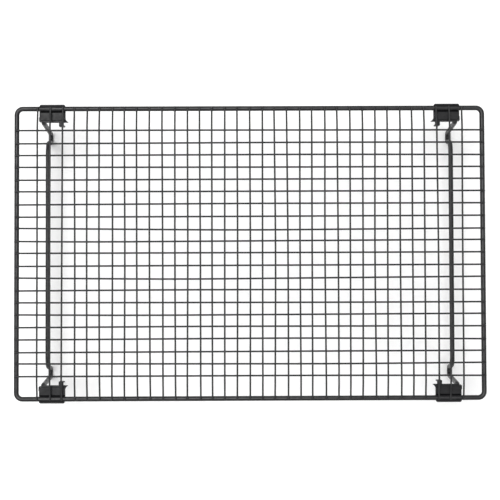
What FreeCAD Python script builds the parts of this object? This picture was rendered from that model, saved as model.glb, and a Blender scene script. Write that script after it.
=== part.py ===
import FreeCAD, Part
import math
import os
import random

# Wire cooling rack on two folding legs. Millimetres. X runs along the long side, Y along the short
# side, Z up. The origin is on the worktop under the middle of the rack, with the legs standing.

# Overall size, measured over the rim wire and up to the top of the grid
RACK_LENGTH = 406.0
RACK_WIDTH = 254.0
RACK_HEIGHT = 80.0

# Wires
RIM_DIAMETER = 4.2
LEG_DIAMETER = 4.2
GRID_DIAMETER = 1.5
RIM_CORNER_RADIUS = 5.3
WELD_DEPTH = 0.15

# Grid: cross wires run along Y on top of the long wires, which run along X
CROSS_COUNT = 35
CROSS_PITCH = 10.75
LONG_COUNT = 21
LONG_PITCH = 10.55
GRID_END_OVERHANG = 1.2
STEP_START = 3.6
STEP_RUN = 11.0
STEP_TANGENT = 2.4
BOW_TANGENT = 40.0
DRIFT = 0.55
DRIFT_SEED = 5
# Long wires pushed out of line by hand: wire number, where along X, and how far along Y
DENTS = {9: (-8.0, -1.6), 10: (-146.0, -1.3), 13: (-62.0, -0.9), 18: (44.0, 0.9)}

# Hinge clips
CLIP_INNER_X = 159.3
CLIP_OUTER_X = 181.2
CLIP_WALL = 1.5
CLIP_GAP = 0.05
OUTER_WALL_RISE = 1.3
OUTER_CORNER_ROUND = 1.4
CRADLE_DROP = 1.2
GROOVE_END = 2.5
PLATE_START = 2.9
PLATE_TOP = -0.3
PLATE_END = 9.9
EDGE_ROUND = 0.5
LIP_TOP = -1.1
LIP_END = 11.5
HOOD_CORNER_CUT = 2.6
BOSS_RADIUS = 3.6
BOSS_END = 7.6
BORE_CLEARANCE = 0.07
BORE_DEPTH_PAST_RIM = 1.7
PIN_END_GAP = 0.4
STOP_REACH = 5.4
STOP_THICKNESS = 1.3
STOP_ROOT = 6.6
STOP_END = 9.9
MOVING_GAP = 0.3
CATCH_NUB_HEIGHT = 0.2

# Catch that holds a folded leg, at the inner end of each clip
CATCH_START_X = 161.0
CATCH_END_X = 164.9
CATCH_INNER = 13.5
CATCH_OUTER = 14.7
CATCH_BOTTOM = -8.8
CATCH_NUB_TOP = -7.2
CATCH_ROUND = 0.5
SADDLE_START = 6.4
SADDLE_END = 8.4
SADDLE_BOTTOM = -8.2
FIN_LENGTH = 2.1
FIN_ROOT = 8.5
FIN_TIP = 11.0
FIN_BOTTOM = -3.2
FIN_HOLLOW_SHARE = 9

# Legs
PIVOT_X = 179.2
PIVOT_DROP = 6.1
LEG_PLANE_Y = 114.0
LEG_LEAN = math.radians(6.55)
LEG_BEND_RADIUS = 3.2
FOOT_RADIUS = 4.4
BAR_HEIGHT = 30.0
BAR_BEND_RADIUS = 7.5
FOOT_RISE_ANGLE = math.radians(9.0)

# How closely edges are matched, how far a cutting wedge overshoots, and the least turn worth an arc
MATCH_TOLERANCE = 0.001
CUT_MARGIN = 1.0
MIN_TURN = math.radians(0.02)

RIM_R = RIM_DIAMETER / 2
LEG_R = LEG_DIAMETER / 2
GRID_R = GRID_DIAMETER / 2
LAYER = GRID_DIAMETER - WELD_DEPTH
CROSS_Z = RACK_HEIGHT - GRID_R
LONG_Z = CROSS_Z - LAYER
RIM_Z = LONG_Z - GRID_R - RIM_R + WELD_DEPTH
RIM_X = RACK_LENGTH / 2 - RIM_R
RIM_Y = RACK_WIDTH / 2 - RIM_R
PIVOT_Z = RIM_Z - PIVOT_DROP
CHANNEL_R = RIM_R + CLIP_GAP
OUTER_FACE = CHANNEL_R + CLIP_WALL
PLATE_BOTTOM = -OUTER_FACE
BORE_R = LEG_R + BORE_CLEARANCE


def vec(x, y, z):
    return FreeCAD.Vector(x, y, z)


def turn_angle(before, corner, after):
    """Angle by which the way through three points turns at the middle one."""
    return (corner - before).getAngle(after - corner)


def bent_path(points, tangents):
    """Straight runs through the points, joined by arcs whose tangent lengths are given per corner."""
    edges = []
    start = points[0]
    for before, corner, after, tangent in zip(points, points[1:], points[2:], tangents):
        turn = turn_angle(before, corner, after)
        if turn < MIN_TURN:
            continue
        way_in = (corner - before).normalize()
        way_out = (after - corner).normalize()
        arc_start = corner - way_in * tangent
        arc_end = corner + way_out * tangent
        to_centre = (way_out - way_in).normalize()
        radius = tangent / math.tan(turn / 2)
        sagitta = radius * (1 / math.cos(turn / 2) - 1)
        edges.append(Part.makeLine(start, arc_start))
        edges.append(Part.Arc(arc_start, corner + to_centre * sagitta, arc_end).toShape())
        start = arc_end
    edges.append(Part.makeLine(start, points[-1]))
    return Part.Wire(edges)


def tube(path, radius):
    """Round wire of the given radius along an open path."""
    first = path.Edges[0]
    direction = first.tangentAt(first.FirstParameter)
    circle = Part.makeCircle(radius, first.valueAt(first.FirstParameter), direction)
    return path.makePipeShell([Part.Wire([circle])], True, False)


def corner_tangent(radius, turn):
    return radius * math.tan(turn / 2)


def rim_wire():
    """Rounded rectangle of thick wire: four straight sides and four quarter bends."""
    side_x = RIM_X - RIM_CORNER_RADIUS
    side_y = RIM_Y - RIM_CORNER_RADIUS
    solids = []
    for sign in (-1, 1):
        start = vec(-side_x, sign * RIM_Y, RIM_Z)
        solids.append(Part.makeCylinder(RIM_R, 2 * side_x, start, vec(1, 0, 0)))
        start = vec(sign * RIM_X, -side_y, RIM_Z)
        solids.append(Part.makeCylinder(RIM_R, 2 * side_y, start, vec(0, 1, 0)))
    bend = Part.makeTorus(RIM_CORNER_RADIUS, RIM_R, vec(0, 0, 0), vec(0, 0, 1), -180, 180, 90)
    for number, (sx, sy) in enumerate(((1, 1), (-1, 1), (-1, -1), (1, -1))):
        quarter = bend.copy()
        quarter.rotate(vec(0, 0, 0), vec(0, 0, 1), 90 * number)
        quarter.translate(vec(sx * side_x, sy * side_y, RIM_Z))
        solids.append(quarter)
    return solids[0].fuse(solids[1:]).removeSplitter()


def cross_wire(x_start, x_middle, x_end):
    """Upper grid wire along Y, stepping down at both ends to lie on the rim."""
    reach = RIM_Y + GRID_END_OVERHANG
    low = RIM_Y - STEP_START
    high = low - STEP_RUN
    stations = [(-reach, LONG_Z), (-low, LONG_Z), (-high, CROSS_Z), (0, CROSS_Z),
                (high, CROSS_Z), (low, LONG_Z), (reach, LONG_Z)]
    points = []
    for y, z in stations:
        edge = x_start if y < 0 else x_end
        points.append(vec(x_middle + (edge - x_middle) * abs(y) / reach, y, z))
    return tube(bent_path(points, (STEP_TANGENT, STEP_TANGENT, BOW_TANGENT, STEP_TANGENT, STEP_TANGENT)),
                GRID_R)


def long_wire(y_start, y_bend, y_end, x_bend):
    """Lower grid wire along X, lying on the rim's short sides."""
    reach = RIM_X + GRID_END_OVERHANG
    points = [vec(-reach, y_start, LONG_Z), vec(x_bend, y_bend, LONG_Z), vec(reach, y_end, LONG_Z)]
    return tube(bent_path(points, (BOW_TANGENT,)), GRID_R)


def cross_wires():
    """The upper layer, numbered from the -X side, with the slight unevenness of drawn wire."""
    drift = random.Random(DRIFT_SEED)
    wires = []
    for number in range(CROSS_COUNT):
        x = (number - (CROSS_COUNT - 1) / 2) * CROSS_PITCH
        start, middle, end = (x + drift.uniform(-DRIFT, DRIFT) for _ in range(3))
        wires.append(cross_wire(start, middle, end))
    return wires


def long_wires():
    """The lower layer, numbered from the +Y side."""
    drift = random.Random(DRIFT_SEED + 1)
    wires = []
    for number in range(1, LONG_COUNT + 1):
        y = ((LONG_COUNT + 1) / 2 - number) * LONG_PITCH
        start, bend, end = (y + drift.uniform(-DRIFT, DRIFT) for _ in range(3))
        x_bend, push = DENTS.get(number, (drift.uniform(-RIM_X, RIM_X) / 2, 0.0))
        wires.append(long_wire(start, bend + push, end, x_bend))
    return wires


def clip_point(x, inboard, rise):
    """Point of the +X +Y clip: how far inboard of the rim's centreline, how far above it."""
    return vec(x, RIM_Y - inboard, RIM_Z + rise)


def prism(outline, x_start, x_end):
    """Solid with an outline given as (inboard, rise) pairs, from one X to another."""
    points = [clip_point(x_start, inboard, rise) for inboard, rise in outline]
    face = Part.Face(Part.makePolygon(points + points[:1]))
    return face.extrude(vec(x_end - x_start, 0, 0))


def clip_plate():
    """Cradle for the rim wire, open at the top, with the flat plate inboard of it."""
    cradle_inboard = math.sqrt(CHANNEL_R ** 2 - CRADLE_DROP ** 2)
    groove_bottom = -CRADLE_DROP - (GROOVE_END - cradle_inboard)
    length = CLIP_OUTER_X - CLIP_INNER_X
    rim_axis = clip_point(CLIP_INNER_X, 0, 0)
    plate = prism([(0, PLATE_BOTTOM), (0, -CRADLE_DROP), (cradle_inboard, -CRADLE_DROP),
                   (GROOVE_END, groove_bottom), (PLATE_START, -CRADLE_DROP), (PLATE_START, PLATE_TOP),
                   (PLATE_END, PLATE_TOP), (PLATE_END, LIP_TOP), (LIP_END, LIP_TOP),
                   (LIP_END, PLATE_BOTTOM)], CLIP_INNER_X, CLIP_OUTER_X)
    outer_wall = prism([(-OUTER_FACE, 0), (-OUTER_FACE, OUTER_WALL_RISE), (0, OUTER_WALL_RISE), (0, 0)],
                       CLIP_INNER_X, CLIP_OUTER_X)
    quarter = prism([(-OUTER_FACE, 0), (0, 0), (0, -OUTER_FACE), (-OUTER_FACE, -OUTER_FACE)],
                    CLIP_INNER_X, CLIP_OUTER_X)
    under_rim = Part.makeCylinder(OUTER_FACE, length, rim_axis, vec(1, 0, 0)).common(quarter)
    above_rim = prism([(-CHANNEL_R, 0), (CHANNEL_R, 0), (CHANNEL_R, OUTER_FACE), (-CHANNEL_R, OUTER_FACE)],
                      CLIP_INNER_X, CLIP_OUTER_X)
    channel = Part.makeCylinder(CHANNEL_R, length, rim_axis, vec(1, 0, 0)).fuse(above_rim)
    return plate.fuse([outer_wall, under_rim]).cut(channel).removeSplitter()


def edges_at(shape, direction, places):
    """Straight edges along a direction whose middles have the given (inboard, rise) or None."""
    found = []
    for edge in shape.Edges:
        if edge.Curve.TypeId != "Part::GeomLine":
            continue
        if abs(edge.tangentAt(edge.FirstParameter).dot(direction)) < 1 - MATCH_TOLERANCE:
            continue
        middle = edge.CenterOfMass
        here = (RIM_Y - middle.y, middle.z - RIM_Z)
        for place in places:
            if all(want is None or abs(want - have) < MATCH_TOLERANCE for want, have in zip(place, here)):
                found.append(edge)
                break
    return found


def rounded_clip_plate():
    """The cradle and plate with their moulded edge roundings."""
    body = clip_plate()
    body = body.makeFillet(OUTER_CORNER_ROUND, edges_at(body, vec(0, 0, 1), [(-OUTER_FACE, None)]))
    long_edges = edges_at(body, vec(1, 0, 0), [(-OUTER_FACE, OUTER_WALL_RISE), (PLATE_START, PLATE_TOP),
                                               (PLATE_END, PLATE_TOP), (LIP_END, LIP_TOP)])
    return body.makeFillet(EDGE_ROUND, long_edges)


def pivot_boss():
    """Round boss under the plate that carries the leg's pin, joined up to the plate."""
    top = clip_point(PIVOT_X, -OUTER_FACE, -PIVOT_DROP)
    boss = Part.makeCylinder(BOSS_RADIUS, OUTER_FACE + BOSS_END, top, vec(0, -1, 0))
    web = prism([(-OUTER_FACE / 2, PLATE_BOTTOM), (BOSS_END, PLATE_BOTTOM), (BOSS_END, -PIVOT_DROP),
                 (-OUTER_FACE / 2, -PIVOT_DROP)], PIVOT_X - BOSS_RADIUS, CLIP_OUTER_X)
    return boss.fuse(web)


def pivot_bore():
    """Blind hole for the leg's pin, open towards the middle of the rack."""
    start = clip_point(PIVOT_X, -BORE_DEPTH_PAST_RIM, -PIVOT_DROP)
    return Part.makeCylinder(BORE_R, BORE_DEPTH_PAST_RIM + LIP_END, start, vec(0, -1, 0))


def leg_stop():
    """Ear beside the boss that the standing leg leans against."""
    near = LEG_R + MOVING_GAP
    ear = Part.makeBox(STOP_THICKNESS, STOP_END - STOP_ROOT, STOP_REACH + PIVOT_DROP + PLATE_BOTTOM)
    ear.translate(vec(PIVOT_X + near, RIM_Y - STOP_END, PIVOT_Z - STOP_REACH))
    ear.rotate(vec(PIVOT_X, 0, PIVOT_Z), vec(0, 1, 0), -math.degrees(LEG_LEAN))
    return ear


def catch():
    """Springy finger and saddle wall between which the folded leg lies."""
    nub_top = CATCH_INNER - CATCH_NUB_HEIGHT
    finger = [(LIP_END - EDGE_ROUND, LIP_TOP), (CATCH_OUTER - CATCH_ROUND, LIP_TOP),
              (CATCH_OUTER, LIP_TOP - CATCH_ROUND), (CATCH_OUTER, CATCH_BOTTOM + CATCH_ROUND),
              (CATCH_OUTER - CATCH_ROUND, CATCH_BOTTOM), (CATCH_INNER, CATCH_BOTTOM),
              (nub_top, (CATCH_BOTTOM + CATCH_NUB_TOP) / 2), (CATCH_INNER, CATCH_NUB_TOP),
              (CATCH_INNER, PLATE_BOTTOM), (LIP_END - EDGE_ROUND, PLATE_BOTTOM)]
    saddle = [(SADDLE_START, PLATE_BOTTOM), (SADDLE_END, PLATE_BOTTOM), (SADDLE_END, SADDLE_BOTTOM),
              (SADDLE_START, SADDLE_BOTTOM)]
    return prism(finger, CATCH_START_X, CATCH_END_X).fuse(prism(saddle, CATCH_START_X, CATCH_END_X))


def fin():
    """Pointed lug at the clip's inner end, straight on the inner side and hollow on the other."""
    root = clip_point(CLIP_INNER_X, FIN_ROOT, FIN_BOTTOM)
    tip = clip_point(CLIP_INNER_X - FIN_LENGTH, FIN_TIP, FIN_BOTTOM)
    flat_tip = clip_point(CLIP_INNER_X - FIN_LENGTH, LIP_END, FIN_BOTTOM)
    flat_root = clip_point(CLIP_INNER_X, LIP_END, FIN_BOTTOM)
    bulge = (FIN_TIP - FIN_ROOT) / FIN_HOLLOW_SHARE
    hollow = (root + tip) * 0.5 + vec(bulge, -bulge, 0)
    edges = [Part.Arc(root, hollow, tip).toShape(), Part.makeLine(tip, flat_tip),
             Part.makeLine(flat_tip, flat_root), Part.makeLine(flat_root, root)]
    return Part.Face(Part.Wire(edges)).extrude(vec(0, 0, LIP_TOP - FIN_BOTTOM - EDGE_ROUND))


def hood_corner():
    """Wedge cut off the plate's outer corner, where the leg comes out."""
    low = PLATE_BOTTOM - CUT_MARGIN
    corner = [clip_point(CLIP_OUTER_X + CUT_MARGIN, LIP_END - HOOD_CORNER_CUT - CUT_MARGIN, low),
              clip_point(CLIP_OUTER_X - HOOD_CORNER_CUT - CUT_MARGIN, LIP_END + CUT_MARGIN, low),
              clip_point(CLIP_OUTER_X + CUT_MARGIN, LIP_END + CUT_MARGIN, low)]
    face = Part.Face(Part.makePolygon(corner + corner[:1]))
    return face.extrude(vec(0, 0, OUTER_FACE - low))


def hinge_clip(sx, sy):
    """Moulded clip for one corner, made for +X +Y and mirrored into place."""
    clip = rounded_clip_plate().cut(hood_corner())
    clip = clip.fuse([pivot_boss(), leg_stop(), catch(), fin()]).removeSplitter()
    clip = clip.cut(pivot_bore()).Solids[0]
    if sx < 0:
        clip = clip.mirror(vec(0, 0, 0), vec(1, 0, 0))
    if sy < 0:
        clip = clip.mirror(vec(0, 0, 0), vec(0, 1, 0))
    return clip


def leg(side):
    """One wire leg: pin, upright, foot, raised bar, foot, upright, pin, all in one leaning plane."""
    reach = (PIVOT_Z - LEG_R) / math.cos(LEG_LEAN)
    bar = (PIVOT_Z - BAR_HEIGHT) / math.cos(LEG_LEAN)
    pin_end = RIM_Y + BORE_DEPTH_PAST_RIM - PIN_END_GAP
    foot_turn = math.pi - FOOT_RISE_ANGLE
    foot_corner = reach + FOOT_RADIUS * (1 / math.tan(FOOT_RISE_ANGLE / 2) - 1)
    rise = foot_corner - bar
    bar_corner = LEG_PLANE_Y - rise * math.tan(FOOT_RISE_ANGLE)
    half = [(pin_end, 0), (LEG_PLANE_Y, 0), (LEG_PLANE_Y, foot_corner), (bar_corner, bar)]
    pin_tangent = corner_tangent(LEG_BEND_RADIUS, math.pi / 2)
    foot_tangent = corner_tangent(FOOT_RADIUS, foot_turn)
    bar_tangent = corner_tangent(BAR_BEND_RADIUS, math.pi / 2 + FOOT_RISE_ANGLE)
    tangents = [pin_tangent, foot_tangent, bar_tangent]
    flat = [vec(0, y, -s) for y, s in half] + [vec(0, -y, -s) for y, s in reversed(half)]
    wire = tube(bent_path(flat, tangents + tangents[::-1]), LEG_R)
    wire.rotate(vec(0, 0, 0), vec(0, 1, 0), -math.degrees(LEG_LEAN))
    wire.translate(vec(PIVOT_X, 0, PIVOT_Z))
    if side < 0:
        wire = wire.mirror(vec(0, 0, 0), vec(1, 0, 0))
    return wire


def export(name, shape):
    shape.exportStep("parts/%s.step" % name)


def main():
    os.makedirs("parts", exist_ok=True)
    export("rim_wire", rim_wire())
    for number, wire in enumerate(cross_wires(), 1):
        export("cross_wire_%02d" % number, wire)
    grid = long_wires()
    middle = LONG_COUNT // 2
    for number in range(middle):
        pair = Part.makeCompound([grid[number], grid[-1 - number]])
        export("long_wire_pair_%02d" % (number + 1), pair)
    export("long_wire_middle", grid[middle])
    for end, sx in (("left", -1), ("right", 1)):
        export("leg_" + end, leg(sx))
        for edge, sy in (("front", -1), ("back", 1)):
            export("hinge_clip_%s_%s" % (end, edge), hinge_clip(sx, sy))


main()
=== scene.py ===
import math
import random

import bmesh
import bpy
from mathutils import Matrix, Vector

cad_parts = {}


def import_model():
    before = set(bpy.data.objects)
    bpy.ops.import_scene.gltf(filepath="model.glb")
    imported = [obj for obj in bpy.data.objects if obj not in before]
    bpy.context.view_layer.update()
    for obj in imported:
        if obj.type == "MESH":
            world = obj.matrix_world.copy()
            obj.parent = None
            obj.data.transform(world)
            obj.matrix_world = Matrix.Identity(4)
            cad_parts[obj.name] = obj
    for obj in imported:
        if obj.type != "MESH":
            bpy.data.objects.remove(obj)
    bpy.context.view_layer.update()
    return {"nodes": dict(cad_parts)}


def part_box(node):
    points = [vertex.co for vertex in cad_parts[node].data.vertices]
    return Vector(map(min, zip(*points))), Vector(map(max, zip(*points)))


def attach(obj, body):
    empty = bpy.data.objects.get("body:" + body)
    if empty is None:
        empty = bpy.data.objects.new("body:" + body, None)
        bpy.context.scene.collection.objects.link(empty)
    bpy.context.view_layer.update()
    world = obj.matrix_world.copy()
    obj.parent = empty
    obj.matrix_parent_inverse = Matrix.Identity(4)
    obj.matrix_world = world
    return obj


# Lengths are metres and angles are degrees unless a name says otherwise.
MM = 0.001

# Camera: above the rack, a little towards the front, looking almost straight down
CAMERA_HEIGHT_OVER_RIM = 0.795
CAMERA_ASIDE = (-0.0032, -0.0158)
CAMERA_TURNS = (-1.319, 0.228, 0.186)
LENS_MM = 66.45
SENSOR_MM = 36.0

# Coating gathered at the welds
NUGGET_REACH = 1.12 * MM
NUGGET_PINCH = 0.27
NUGGET_HALF_HEIGHT = 0.66 * MM
SEAT_ALONG = 1.5 * MM
SEAT_ACROSS = 1.05 * MM
SEAT_HALF_HEIGHT = 0.55 * MM
SEAT_DRIFT = 0.2 * MM
SEAT_LIFT = 0.05 * MM
END_CAP_LENGTH = 0.32 * MM
END_CAP_SWELL = 1.06
UNEVENNESS = 0.14
NUGGET_TURN_RADIANS = 0.12
SEED = 11

# Floor, and how far from the middle it starts and ends fading out
FLOOR_SIZE = 4.0
FADE_START = 0.6
FADE_END = 1.5
FLOOR_TONE = (0.96, 0.96, 0.96)
FLOOR_ROUGHNESS = 0.95

# Lights: glow from all round, and disk lamps given as place, size and watts
WHITE = (1.0, 1.0, 1.0, 1.0)
GLOW_STRENGTH = 0.33
BACKDROP_STRENGTH = 1.0
LAMPS = {"overhead": ((-0.30, 0.25, 1.7), 1.3, 36.0), "fill": ((0.9, -0.9, 1.3), 0.9, 4.0)}

# Looks: coating tones from dark to light, and how glossy each surface is
COATING_DARK = (0.008, 0.008, 0.009)
COATING_LIGHT = (0.020, 0.020, 0.021)
COATING_SPECULAR = 0.32
GRID_GRAIN = 1500.0
THICK_WIRE_GRAIN = 1100.0
GRID_ROUGHNESS = 0.46
RIM_ROUGHNESS = 0.40
LEG_ROUGHNESS = 0.42
PLASTIC_TONE = (0.005, 0.005, 0.006)
PLASTIC_DARK = (0.003, 0.003, 0.004)
PLASTIC_LIGHT = (0.008, 0.008, 0.009)
PLASTIC_ROUGHNESS = 0.48
PLASTIC_SPECULAR = 0.22

# Noise scales, per metre, and the strength and depth of each bump
MOTTLE_SCALE = 140.0
SHINE_SCALE = 260.0
SPECK_FINENESS = 3.2
FINE_FINENESS = 4.0
SPECK_STOPS = [(0.0, 1.0), (0.62, 1.0), (0.76, 1.7)]
SPECK_SHARE = 0.8
SHINE_BELOW = 0.07
SHINE_ABOVE = 0.09
PEEL_BUMP = (0.30, 0.10 * MM)
FINE_BUMP = (0.18, 0.04 * MM)
FLOW_SCALE = 420.0
FLOW_STRETCH = (0.25, 1.0, 1.0)
DULL_SCALE = 300.0
DULL_RANGE = (0.40, 0.56)
PLASTIC_GRAIN = 3600.0
GRAIN_BUMP = (0.28, 0.05 * MM)
FLOW_BUMP = (0.12, 0.08 * MM)
NOISE_LOW = 0.3
NOISE_HIGH = 0.7

# Reading wires from their meshes: points closer than this are one, a gap along a wire longer than
# this separates two rings, and a node wider than this holds two wires
MERGE_DISTANCE = 1e-7
RING_GAP = 0.3 * MM
ONE_WIRE_WIDTH = 10 * MM
SHORTEST_STEP = 1e-9


def new_material(name, base, roughness, specular):
    """Principled material with its even values on the shader's own sockets."""
    material = bpy.data.materials.new(name)
    material.use_nodes = True
    tree = material.node_tree
    shader = tree.nodes["Principled BSDF"]
    shader.inputs["Base Color"].default_value = (*base, 1.0)
    shader.inputs["Roughness"].default_value = roughness
    shader.inputs["Specular IOR Level"].default_value = specular
    return material, tree, shader


def add_node(tree, kind, **inputs):
    node = tree.nodes.new(kind)
    for name, value in inputs.items():
        node.inputs[name.replace("_", " ")].default_value = value
    return node


def noise(tree, place, scale, detail, roughness=0.5):
    node = add_node(tree, "ShaderNodeTexNoise", Scale=scale, Detail=detail, Roughness=roughness)
    tree.links.new(place, node.inputs["Vector"])
    return node.outputs["Fac"]


def ramp(tree, value, stops):
    """Colour ramp with stops of (position, grey or colour)."""
    node = tree.nodes.new("ShaderNodeValToRGB")
    elements = node.color_ramp.elements
    while len(elements) < len(stops):
        elements.new(0.5)
    for element, (position, colour) in zip(elements, stops):
        element.position = position
        colour = colour if isinstance(colour, tuple) else (colour, colour, colour)
        element.color = (*colour, 1.0)
    tree.links.new(value, node.inputs["Fac"])
    return node.outputs["Color"]


def mix(tree, mode, amount, first, second):
    node = tree.nodes.new("ShaderNodeMix")
    node.data_type = "RGBA"
    node.blend_type = mode
    node.inputs["Factor"].default_value = amount
    tree.links.new(first, node.inputs["A"])
    tree.links.new(second, node.inputs["B"])
    return node.outputs["Result"]


def bump(tree, height, strength, distance, below=None):
    node = add_node(tree, "ShaderNodeBump", Strength=strength, Distance=distance)
    tree.links.new(height, node.inputs["Height"])
    if below is not None:
        tree.links.new(below, node.inputs["Normal"])
    return node.outputs["Normal"]


def spread(tree, value, low, high):
    """Noise value stretched to run from low to high."""
    node = add_node(tree, "ShaderNodeMapRange")
    node.inputs["From Min"].default_value = NOISE_LOW
    node.inputs["From Max"].default_value = NOISE_HIGH
    node.inputs["To Min"].default_value = low
    node.inputs["To Max"].default_value = high
    tree.links.new(value, node.inputs["Value"])
    return node.outputs["Result"]


def coating(name, grain_scale, roughness):
    """Baked-on non-stick coating: mottled charcoal, fine pale specks, slight orange peel."""
    material, tree, shader = new_material(name, COATING_LIGHT, roughness, COATING_SPECULAR)
    place = tree.nodes.new("ShaderNodeTexCoord").outputs["Object"]
    mottle = ramp(tree, noise(tree, place, MOTTLE_SCALE, 4.0), [(0.35, COATING_DARK), (0.68, COATING_LIGHT)])
    specks = ramp(tree, noise(tree, place, grain_scale * SPECK_FINENESS, 2.0), SPECK_STOPS)
    tree.links.new(mix(tree, "MULTIPLY", SPECK_SHARE, mottle, specks), shader.inputs["Base Color"])
    patches = noise(tree, place, SHINE_SCALE, 3.0)
    shine = spread(tree, patches, roughness - SHINE_BELOW, roughness + SHINE_ABOVE)
    tree.links.new(shine, shader.inputs["Roughness"])
    peel = bump(tree, noise(tree, place, grain_scale, 3.0), *PEEL_BUMP)
    fine_noise = noise(tree, place, grain_scale * FINE_FINENESS, 2.0, 0.7)
    fine = bump(tree, fine_noise, *FINE_BUMP, peel)
    tree.links.new(fine, shader.inputs["Normal"])
    return material


def moulded_plastic(name):
    """Black moulded plastic: spark-eroded grain, faint flow streaks and duller patches."""
    material, tree, shader = new_material(name, PLASTIC_TONE, PLASTIC_ROUGHNESS, PLASTIC_SPECULAR)
    place = tree.nodes.new("ShaderNodeTexCoord").outputs["Object"]
    stretch = tree.nodes.new("ShaderNodeMapping")
    stretch.inputs["Scale"].default_value = FLOW_STRETCH
    tree.links.new(place, stretch.inputs["Vector"])
    flow = noise(tree, stretch.outputs["Vector"], FLOW_SCALE, 3.0)
    tone = ramp(tree, flow, [(NOISE_LOW, PLASTIC_DARK), (NOISE_HIGH, PLASTIC_LIGHT)])
    tree.links.new(tone, shader.inputs["Base Color"])
    dull = spread(tree, noise(tree, place, DULL_SCALE, 4.0), *DULL_RANGE)
    tree.links.new(dull, shader.inputs["Roughness"])
    grain = bump(tree, noise(tree, place, PLASTIC_GRAIN, 3.0, 0.6), *GRAIN_BUMP)
    tree.links.new(bump(tree, flow, *FLOW_BUMP, grain), shader.inputs["Normal"])
    return material


def dress(nodes, names, material):
    for name in names:
        node = nodes[name]
        if not node.material_slots:
            node.data.materials.append(material)
        for slot in node.material_slots:
            slot.material = material


def wire_lines(node, along):
    """Centre lines of a node's wires, each a list of points in order along one axis."""
    across = 1 - along
    groups = {}
    mesh = bmesh.new()
    mesh.from_mesh(node.data)
    bmesh.ops.remove_doubles(mesh, verts=mesh.verts, dist=MERGE_DISTANCE)
    middle = sum(vert.co[across] for vert in mesh.verts) / len(mesh.verts)
    width = max(vert.co[across] for vert in mesh.verts) - min(vert.co[across] for vert in mesh.verts)
    for vert in mesh.verts:
        second = width >= ONE_WIRE_WIDTH and vert.co[across] > middle
        groups.setdefault(second, []).append(vert.co.copy())
    mesh.free()
    lines = []
    for points in groups.values():
        points.sort(key=lambda point: point[along])
        rings = [[points[0]]]
        for before, point in zip(points, points[1:]):
            if point[along] - before[along] > RING_GAP:
                rings.append([])
            rings[-1].append(point)
        lines.append([ring_centre(ring) for ring in rings])
    return lines


def ring_centre(ring):
    """Middle of the box round a ring's points, which doesn't depend on how they are spaced."""
    low = [min(point[axis] for point in ring) for axis in range(3)]
    high = [max(point[axis] for point in ring) for axis in range(3)]
    return Vector([(a + b) / 2 for a, b in zip(low, high)])


def at(line, along, value):
    """Point of a centre line where its coordinate along one axis has a value."""
    for before, after in zip(line, line[1:]):
        if before[along] <= value <= after[along]:
            share = (value - before[along]) / max(after[along] - before[along], SHORTEST_STEP)
            return before.lerp(after, share)
    return (line[0] if value < line[0][along] else line[-1]).copy()


def crossing(cross, long):
    """Middle of the weld between a cross wire and a long wire."""
    upper = at(cross, 1, long[0].y)
    lower = at(long, 0, upper.x)
    upper = at(cross, 1, lower.y)
    return Vector((upper.x, lower.y, (upper.z + lower.z) / 2))


def add_blob(mesh, centre, shape):
    """Small closed lump whose points are moved by a function."""
    made = bmesh.ops.create_icosphere(mesh, subdivisions=2, radius=1.0)
    for vert in made["verts"]:
        vert.co = centre + shape(vert.co)


def pinched(reach, height, turn):
    """Lump drawn out along both wires and hollow between them, like a fillet."""
    def shape(unit):
        angle = math.atan2(unit.y, unit.x)
        stretch = reach * (1 + NUGGET_PINCH * math.cos(4 * (angle - turn)))
        return Vector((unit.x * stretch, unit.y * stretch, unit.z * height))
    return shape


def oval(half_x, half_y, half_z):
    return lambda unit: Vector((unit.x * half_x, unit.y * half_y, unit.z * half_z))


def add_piece(name, mesh, material):
    """Turn a mesh into a smooth piece that moves with the rack."""
    for face in mesh.faces:
        face.smooth = True
    data = bpy.data.meshes.new(name)
    mesh.to_mesh(data)
    mesh.free()
    data.materials.append(material)
    piece = bpy.data.objects.new(name, data)
    bpy.context.scene.collection.objects.link(piece)
    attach(piece, "rack")


def weld_nuggets(cross_lines, long_lines, material):
    """Coating gathered in the corners of every crossing of the grid."""
    uneven = random.Random(SEED)
    mesh = bmesh.new()
    for cross in cross_lines:
        for long in long_lines:
            size = 1 + uneven.uniform(-UNEVENNESS, UNEVENNESS)
            turn = uneven.uniform(-NUGGET_TURN_RADIANS, NUGGET_TURN_RADIANS)
            shape = pinched(NUGGET_REACH * size, NUGGET_HALF_HEIGHT, turn)
            add_blob(mesh, crossing(cross, long), shape)
    add_piece("weld_nuggets", mesh, material)


def rim_seats(cross_lines, long_lines, rim_low, rim_high, material):
    """Weld lumps where the wires lie on the rim, and the rounded coating over their cut ends."""
    uneven = random.Random(SEED + 1)
    mesh = bmesh.new()
    rim_radius = (rim_high.z - rim_low.z) / 2
    for lines, along in ((cross_lines, 1), (long_lines, 0)):
        for line in lines:
            for end, edge in ((line[0], rim_low), (line[-1], rim_high)):
                inward = 1 if edge[along] < 0 else -1
                size = 1 + uneven.uniform(-UNEVENNESS, UNEVENNESS)
                half = [SEAT_ACROSS * size, SEAT_ACROSS * size, SEAT_HALF_HEIGHT]
                half[along] = SEAT_ALONG * size
                centre = end.copy()
                inset = rim_radius + uneven.uniform(-SEAT_DRIFT, SEAT_DRIFT)
                centre[along] = edge[along] + inward * inset
                centre.z = rim_high.z + SEAT_LIFT
                add_blob(mesh, centre, oval(*half))
                cap_radius = (end.z - rim_high.z) * END_CAP_SWELL
                cap = [cap_radius, cap_radius, cap_radius]
                cap[along] = END_CAP_LENGTH
                add_blob(mesh, end, oval(*cap))
    add_piece("rim_weld_seats", mesh, material)


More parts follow.
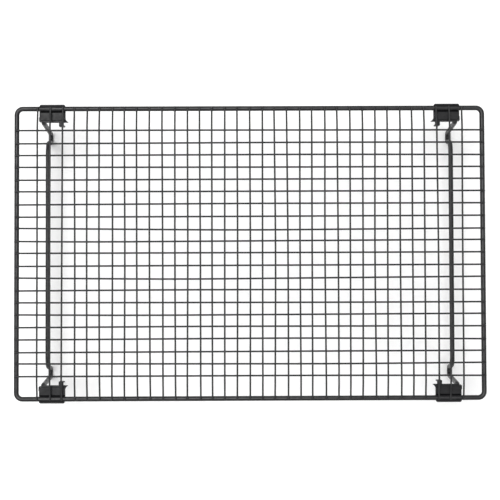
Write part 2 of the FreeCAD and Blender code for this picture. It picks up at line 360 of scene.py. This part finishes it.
def blend_shaders(tree, amount, first, second, output):
    blend = tree.nodes.new("ShaderNodeMixShader")
    for place, source in enumerate((amount, first, second)):
        tree.links.new(source, blend.inputs[place])
    tree.links.new(blend.outputs["Shader"], tree.nodes[output].inputs["Surface"])


def stage():
    """Plain pale floor that fades into the backdrop far out."""
    bpy.ops.mesh.primitive_plane_add(size=FLOOR_SIZE, location=(0, 0, 0))
    floor = bpy.context.object
    floor.name = "floor"
    material, tree, shader = new_material("studio_floor", FLOOR_TONE, FLOOR_ROUGHNESS, 0.0)
    distance = tree.nodes.new("ShaderNodeVectorMath")
    distance.operation = "LENGTH"
    tree.links.new(tree.nodes.new("ShaderNodeTexCoord").outputs["Object"], distance.inputs[0])
    fade = add_node(tree, "ShaderNodeMapRange")
    fade.inputs["From Min"].default_value = FADE_START
    fade.inputs["From Max"].default_value = FADE_END
    tree.links.new(distance.outputs["Value"], fade.inputs["Value"])
    nothing = tree.nodes.new("ShaderNodeBsdfTransparent")
    blend_shaders(tree, fade.outputs["Result"], shader.outputs["BSDF"], nothing.outputs["BSDF"],
                  "Material Output")
    floor.data.materials.append(material)


def area_light(name, place, size, power):
    """Disk lamp aimed at the origin."""
    light = bpy.data.lights.new(name, "AREA")
    light.shape = "DISK"
    light.size = size
    light.energy = power
    holder = bpy.data.objects.new(name, light)
    holder.location = place
    holder.rotation_euler = (-Vector(place)).to_track_quat("-Z", "Y").to_euler()
    bpy.context.scene.collection.objects.link(holder)


def lights():
    """Soft light from all round, with a large lamp overhead."""
    world = bpy.data.worlds.new("studio")
    bpy.context.scene.world = world
    bpy.context.scene.view_settings.view_transform = "Standard"
    world.use_nodes = True
    tree = world.node_tree
    glow = tree.nodes["Background"]
    glow.inputs["Color"].default_value = WHITE
    glow.inputs["Strength"].default_value = GLOW_STRENGTH
    backdrop = add_node(tree, "ShaderNodeBackground", Color=WHITE, Strength=BACKDROP_STRENGTH)
    seen = tree.nodes.new("ShaderNodeLightPath").outputs["Is Camera Ray"]
    blend_shaders(tree, seen, glow.outputs["Background"], backdrop.outputs["Background"], "World Output")
    for name, (place, size, power) in LAMPS.items():
        area_light(name, place, size, power)


def camera(rim_height):
    data = bpy.data.cameras.new("camera")
    data.lens = LENS_MM
    data.sensor_width = SENSOR_MM
    holder = bpy.data.objects.new("camera", data)
    turns = [math.radians(angle) for angle in CAMERA_TURNS]
    world_to_view = (Matrix.Rotation(turns[2], 3, "Z") @ Matrix.Rotation(turns[1], 3, "Y")
                     @ Matrix.Rotation(turns[0], 3, "X"))
    place = Vector((*CAMERA_ASIDE, rim_height + CAMERA_HEIGHT_OVER_RIM))
    holder.matrix_world = Matrix.Translation(place) @ world_to_view.transposed().to_4x4()
    bpy.context.scene.collection.objects.link(holder)
    bpy.context.scene.camera = holder


def main():
    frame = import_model()
    nodes = frame["nodes"]
    cross_names = sorted(name for name in nodes if name.startswith("cross_wire_"))
    long_names = sorted(name for name in nodes if name.startswith("long_wire_"))
    clip_names = sorted(name for name in nodes if name.startswith("hinge_clip_"))
    leg_names = [name for name in nodes if name.startswith("leg_")]

    grid_coating = coating("grid_coating_look", GRID_GRAIN, GRID_ROUGHNESS)
    rim_coating = coating("rim_coating_look", THICK_WIRE_GRAIN, RIM_ROUGHNESS)
    leg_coating = coating("leg_coating_look", THICK_WIRE_GRAIN, LEG_ROUGHNESS)
    dress(nodes, cross_names + long_names, grid_coating)
    dress(nodes, ["rim_wire"], rim_coating)
    dress(nodes, leg_names, leg_coating)
    dress(nodes, clip_names, moulded_plastic("clip_plastic_look"))

    cross_lines = [line for name in cross_names for line in wire_lines(nodes[name], 1)]
    long_lines = [line for name in long_names for line in wire_lines(nodes[name], 0)]
    rim_low, rim_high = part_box("rim_wire")
    weld_nuggets(cross_lines, long_lines, grid_coating)
    rim_seats(cross_lines, long_lines, rim_low, rim_high, grid_coating)

    stage()
    lights()
    camera((rim_low.z + rim_high.z) / 2)


main()
